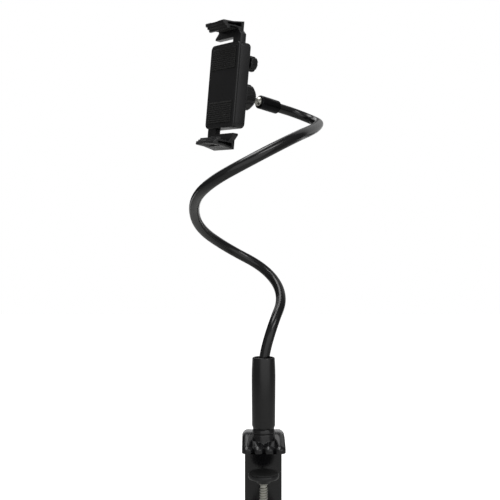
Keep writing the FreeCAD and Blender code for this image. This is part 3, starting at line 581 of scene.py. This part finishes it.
# %% Close the thread's ends and join it to the core
# The flanks of the thread meet its crest at a blunt edge, which should stay crisp too.
CRISP_THREAD = math.radians(28)
bpy.ops.object.mode_set(mode="EDIT")
bpy.ops.mesh.select_all(action="SELECT")
bpy.ops.mesh.fill_holes(sides=4)
close_up()
bpy.ops.object.shade_smooth_by_angle(angle=CRISP_THREAD)
only(tooth, screw)
bpy.ops.object.join()
screw = named("clamp_screw_threaded")
settle(screw, SCREW_AXIS)
fit(screw, "clamp_screw", "steel", "clamp_screw")

# %% [markdown]
# ## Foot and knob
#
# The foot is a satin disc with a rubber pad that spreads the screw's force, and the knob at the
# other end is a gloss moulding with lobes for the fingers and a cap. Lobes could be cut again with
# booleans, but the CAD shapes are true already, so they are copied and get softer edges.

# %% Foot, pad, knob and cap
fit(dressed("pressure_disc", 0.4), "clamp_foot", "holder_satin")
fit(dressed("pressure_pad", 0.3), "clamp_foot", "rubber")
fit(dressed("screw_knob", 0.7), "clamp_screw", "clamp_gloss")
fit(dressed("knob_cap", 0.3), "clamp_screw", "grip_satin")

# %% [markdown]
# ## Collar and ball joint
#
# The collar closes the neck's end and carries the ball on its stud. Both are lathe work on the real
# holder. A sphere and a cylinder could be joined, but one outline gives the ball, its waist and its
# stud without a seam, so they are turned too. The ring nut round the ball has grip notches that
# came with the CAD shape, and only its edges are softened.

# %% Collar
across = COLLAR_WAY.orthogonal().normalized()
STUD = placed(BALL, across, COLLAR_WAY.cross(across), COLLAR_WAY)
COLLAR = [(4, 24), (7.5, 24), (8.5, 25), (8.5, 54.4), (7.1, 56), (6, 56), (6, 40), (4, 40)]
fit(turned("end_collar_turned", COLLAR, 0.25, place=STUD), "neck_6", "black_steel", "end_collar")

# %% Ball with its stud, and ring nut
BALL_RADIUS = 8.5
# The ball's outline runs from the edge of its waist to just before its far pole, in degrees.
WAIST, FAR, ARC_STEPS = 24.3, 179.0, 40
angles = [math.radians(WAIST + (FAR - WAIST) * i / ARC_STEPS) for i in range(ARC_STEPS + 1)]
BALL_SIDE = [(BALL_RADIUS * math.sin(a), BALL_RADIUS * math.cos(a)) for a in angles]
STUD_SIDE = [(0, 39), (4, 39), (4, 24), (6, 24), (6, 22), (3.5, 20)]
fit(turned("ball_stud_turned", STUD_SIDE + BALL_SIDE + [(0, -BALL_RADIUS)], 0.15, place=STUD),
    "neck_6", "steel", "ball_stud")
fit(dressed("lock_ring", 0.5), "lock_ring", "grip_satin")

# %% [markdown]
# ## The holder
#
# The housing and the jaws are mouldings of glass-filled nylon. Their walls, ribs and hooks could be
# extruded from boxes again, but they slide in each other with little play, so the CAD shapes are
# kept and only their edges are rounded, by a few tenths of a millimetre.

# %% Housing, jaws and jaw lock
fit(dressed("front_shell", 0.35), "holder", "holder_satin")
fit(dressed("back_shell", 0.5), "holder", "holder_satin")
for side in ("upper", "lower"):
    fit(dressed(side + "_jaw", 0.35), side + "_jaw", "holder_satin")
    fit(dressed(side + "_jaw_grip", 0.12), side + "_jaw", "rubber")
fit(dressed("lock_knob", 0.5), "jaw_lock", "grip_satin")
fit(dressed("lock_screw", 0.2), "jaw_lock", "steel")
fit(dressed("lock_insert", 0.2), "holder", "brass")

# %% [markdown]
# ## Ribbed pads on the front
#
# Two rubber pads on the front keep what is held from slipping and from being scratched. Their ribs
# could be bump, but they break up the pad's edge, which shows from the side. A pad is like a comb
# seen from its end, so that outline is drawn, filled and stretched across, and the pad is copied.

# %% A comb-like outline
# Ribs, from the side, in millimetres: the groove's floor, each slanted flank and the end's step.
GROOVE, FLANK, STEP = 0.6, 0.35, 0.3


def comb(reach, pitch, top, valley, under):
    """Outline of a pad seen from its side: ribs with slanted flanks on a flat back."""
    ribs = int(2 * reach / pitch)
    points = [(-reach, under), (-reach, top - STEP)]
    for i in range(ribs):
        low = i * pitch - pitch * ribs / 2
        points += [(low + FLANK, top), (low + pitch - GROOVE - FLANK, top),
                   (low + pitch - GROOVE, valley), (low + pitch, valley)]
    # The last rib has no groove after it but the pad's other end.
    points[-2:] = [(reach, top - STEP), (reach, under)]
    return points


# %% Stretching an outline
def stretched(name, outline, width, edge):
    """Fill an outline of (y, z) points and stretch it across X, to both sides."""
    thing = draw_chain(name, [(-width / 2, y, z) for y, z in outline + outline[:1]])
    bpy.ops.mesh.select_all(action="SELECT")
    bpy.ops.mesh.remove_doubles(threshold=SAME_POINT)
    bpy.ops.mesh.edge_face_add()
    bpy.ops.mesh.extrude_region_move(TRANSFORM_OT_translate={"value": (width * MM, 0, 0)})
    close_up()
    round_edges(thing, edge)
    return thing


# %% One pad and its two copies
PAD_WIDTH, PAD_REACH, RIB_PITCH = 46, 13, 2.6
# From the holder's middle to the middle of a pad.
PAD_UP = 33 * MM
pad_outline = comb(PAD_REACH, RIB_PITCH, top=-7.5, valley=-8.1, under=-9.5)
pad = stretched("front_pad", pad_outline, PAD_WIDTH, 0.12)
for name, up in (("front_pad_upper", PAD_UP), ("front_pad_lower", -PAD_UP)):
    fit(copied(pad, name, HOLDER @ Matrix.Translation((0, up, 0))),
        "holder", "rubber", "front_pads")
bpy.data.objects.remove(pad)

# %% [markdown]
# ## Screws of the housing
#
# Four small pan-head screws close the back. Only their heads show, each with a cross recess. A
# recess could be drawn with dark paint, but it catches a glint on one side, so two crossed blocks
# are cut out of the head. One screw is modelled, and four copies with their own meshes are placed.

# %% One cross-head screw
# The head's top is at height 0, and the shank goes on into the housing.
HEAD = [(0, 0), (1.9, 0), (2.3, 0.5), (2.3, 1.8), (1.25, 1.8), (1.25, 17), (0, 17)]
# Length, width and height of one arm of the cross. Half of its height stands out of the head.
CROSS = (2.6 * MM, 0.55 * MM, 1.6 * MM)
pattern = turned("housing_screw", HEAD, 0.12, steps=40)
bpy.ops.mesh.primitive_cube_add(size=1, location=(0, 0, 0))
arm = named("cross_arm")
arm.dimensions = CROSS
settle(arm)
bpy.ops.object.duplicate()
other_arm = bpy.context.object
bpy.ops.transform.rotate(value=math.pi / 2, orient_axis="Z", center_override=(0, 0, 0))
settle(other_arm)
for tool in (arm, other_arm):
    cut = pattern.modifiers.new("Cross", "BOOLEAN")
    cut.object = tool
    cut.operation = "DIFFERENCE"
    cut.solver = "EXACT"
apply_modifiers(pattern)
bpy.data.objects.remove(arm)
bpy.data.objects.remove(other_arm)
print("one screw has %d faces" % len(pattern.data.polygons))

# %% Four copies of it
# The heads lie this far behind the holder's middle, in two pairs near its ends.
BACK = -27.5
SCREW_PLACES = [(x, y, BACK) for x in (-4, 4) for y in (-44, 44)]
for number, spot in enumerate(SCREW_PLACES, start=1):
    place = HOLDER @ Matrix.Translation(Vector(spot) * MM)
    fit(copied(pattern, "housing_screw_%d" % number, place), "holder", "steel", "shell_screws")
bpy.data.objects.remove(pattern)

# %% [markdown]
# ## Studio: floor and background
#
# The floor is pale and the background is white. The floor could be made white with more light, but
# then the holder would be overlit too. So the white is what the camera is shown: far away the floor
# glows at just white, and near the middle it glows less, so that a soft shadow still shows. A
# mirror or a glass sees that white only behind the holder, because a floor that is white all round
# would turn black plastic grey from underneath.

# %% Who sees the white
def white_share(tree, position, start, end):
    """How much of the white a ray sees, from 0 to 1, as an output socket.

    The camera sees all of it. A ray off a mirror or through a glass sees it behind the holder,
    where the position's Y goes from start to end.
    """
    ray = add_node(tree, "ShaderNodeLightPath").outputs
    axes = add_node(tree, "ShaderNodeSeparateXYZ", Vector=position)
    behind = add_node(tree, "ShaderNodeMapRange", {"From Min": start, "From Max": end},
                      Value=axes.outputs["Y"])
    mirrored = add_node(tree, "ShaderNodeMath", {"operation": "MAXIMUM"},
                        [ray["Is Glossy Ray"], ray["Is Transmission Ray"]])
    backdrop = add_node(tree, "ShaderNodeMath", {"operation": "MULTIPLY"},
                        [mirrored.outputs["Value"], behind.outputs["Result"]])
    shown = add_node(tree, "ShaderNodeMath", {"operation": "MAXIMUM"},
                     [ray["Is Camera Ray"], backdrop.outputs["Value"]])
    return shown.outputs["Value"]


# %% Floor
bpy.ops.mesh.primitive_plane_add(size=12.0, location=(0, 0, -0.3))
floor = named("floor")
pale = bpy.data.materials.new("floor_pale_paint")
pale.use_nodes = True
floor.data.materials.append(pale)
tree = pale.node_tree
shader = tree.nodes["Principled BSDF"]
shader.inputs["Base Color"].default_value = colour("#d8d8d6")
shader.inputs["Roughness"].default_value = 0.9
where = add_node(tree, "ShaderNodeTexCoord").outputs["Object"]
far = add_node(tree, "ShaderNodeVectorMath", {"operation": "LENGTH"}, Vector=where)
bright = add_node(tree, "ShaderNodeMapRange",
                  {"From Min": 0.3, "From Max": 0.75, "To Min": 0.6, "To Max": 1.0},
                  Value=far.outputs["Value"])
strength = add_node(tree, "ShaderNodeMath", {"operation": "MULTIPLY"},
                    [white_share(tree, where, start=2.5, end=4.0), bright.outputs["Result"]])
glow = add_node(tree, "ShaderNodeEmission", {"Color": WHITE}, Strength=strength.outputs["Value"])
both = add_node(tree, "ShaderNodeAddShader",
                feeds=[shader.outputs["BSDF"], glow.outputs["Emission"]])
tree.links.new(both.outputs["Shader"], tree.nodes["Material Output"].inputs["Surface"])
print("the floor lies %.0f mm below the clamp's upper jaw" % (-floor.location.z / MM))

# %% [markdown]
# ## Studio: the room
#
# A black object shows mostly what it mirrors, and in a white room it would turn grey. So the room
# is dim, darkest behind the holder and a little lighter on the camera's side. It is white only as
# the camera sees it, and as a mirror or a glass sees it straight behind the holder.

# %% The room around it
LIGHT_IN_FRONT, LIGHT_BEHIND = 0.28, 0.04
world = bpy.data.worlds.new("studio")
bpy.context.scene.world = world
world.use_nodes = True
tree = world.node_tree
room = tree.nodes["Background"]
room.inputs["Color"].default_value = WHITE
way = add_node(tree, "ShaderNodeTexCoord").outputs["Generated"]
axes = add_node(tree, "ShaderNodeSeparateXYZ", Vector=way)
dimmed = add_node(tree, "ShaderNodeMapRange",
                  {"From Min": -0.4, "From Max": 0.7,
                   "To Min": LIGHT_IN_FRONT, "To Max": LIGHT_BEHIND},
                  Value=axes.outputs["Y"])
tree.links.new(dimmed.outputs["Result"], room.inputs["Strength"])
white = add_node(tree, "ShaderNodeBackground", {"Color": WHITE, "Strength": 1.0})
mix = add_node(tree, "ShaderNodeMixShader",
               feeds=[white_share(tree, way, start=0.965, end=0.985),
                      room.outputs["Background"], white.outputs["Background"]])
tree.links.new(mix.outputs["Shader"], tree.nodes["World Output"].inputs["Surface"])
print("the room's light is %.2f in front and %.2f behind" % (LIGHT_IN_FRONT, LIGHT_BEHIND))

# %% [markdown]
# ## Studio: lamps
#
# Small lamps would give black plastic a few hard dots. Wide panels give it the long soft shapes
# that show how it is curved. A box overhead draws the thin streaks along the neck, a large dim
# panel in front gives the broad band on the post, and a short bright one at the upper right gives
# the small highlights. Of the two panels behind, the faint one greys the turned end of the neck,
# and the higher one greys the clamp's shoulders and the flanks of its fingers.

# %% Lamps
def panel(name, place, target, width, height, glow):
    """A flat lamp that faces a point. Its glow is its brightness as a mirror shows it."""
    bpy.ops.object.light_add(type="AREA", location=place)
    lamp = named(name)
    lamp.data.shape = "RECTANGLE"
    lamp.data.size = width
    lamp.data.size_y = height
    lamp.data.energy = glow * math.pi * width * height
    lamp.visible_camera = False
    way = Vector(target) - Vector(place)
    lamp.rotation_euler = way.to_track_quat("-Z", "Y").to_euler()
    print("%-14s %4.1f W" % (name, lamp.data.energy))


NECK_MIDDLE = (0.0, 0.0, 0.33)
panel("overhead_box", (-0.3, 0.1, 1.7), NECK_MIDDLE, 1.0, 0.7, 4.5)
panel("front_panel", (0.28, -1.06, 0.385), (0.0, 0.0, 0.385), 2.4, 1.13, 0.72)
panel("key_light", (0.79, -0.81, 1.32), NECK_MIDDLE, 0.9, 0.35, 5.0)
panel("back_panel", (0.75, 1.4, 1.2), NECK_MIDDLE, 1.3, 1.8, 0.35)
panel("back_top_panel", (-0.35, 1.0, 1.0), (0.0, 0.0, 0.0), 0.9, 0.6, 1.15)
